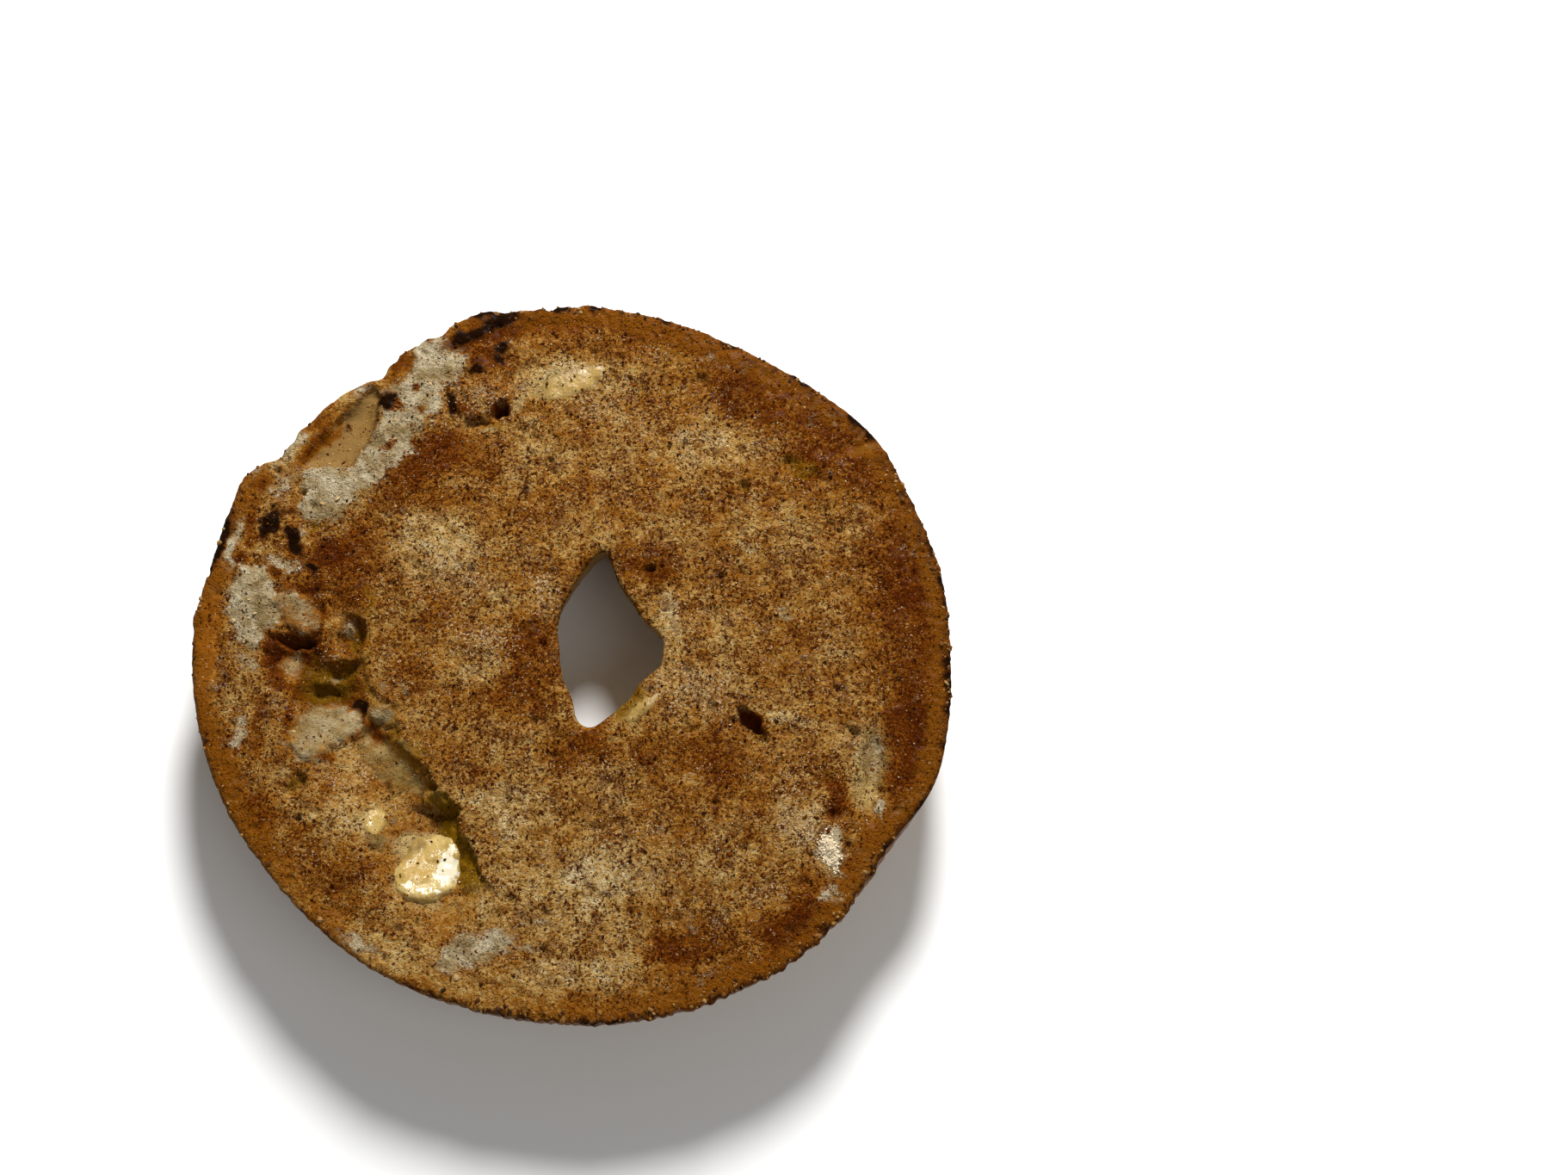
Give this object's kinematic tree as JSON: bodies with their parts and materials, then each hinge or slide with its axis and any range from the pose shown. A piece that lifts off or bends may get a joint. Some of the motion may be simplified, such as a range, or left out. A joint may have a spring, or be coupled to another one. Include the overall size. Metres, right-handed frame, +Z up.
{
  "type": "toasted bagel half",
  "caption": "Toasted bagel half lying cut side up, with a through hole, a torn cut face, melting butter and cinnamon sugar.",
  "frame": {"origin": "on the surface the half rests on, under the middle of its outline", "axes": "+Z up out of the cut face, +Y away from the viewer, +X to the viewer's right"},
  "size_m": [0.1098, 0.1064, 0.0219],
  "materials": {
    "toasted_bread": "rough toasted crumb, golden crust below the cut",
    "butter": "soft and glossy, half melted",
    "sugar": "damp grains",
    "cinnamon": "dry powder and flakes"
  },
  "bodies": {
    "root": {"bagel_half": "toasted_bread", "butter_pat": "butter", "butter_dab": "butter", "butter_smear_far": "butter", "butter_smear_hole": "butter", "sugar_clump": "sugar"}
  },
  "joints": []
}
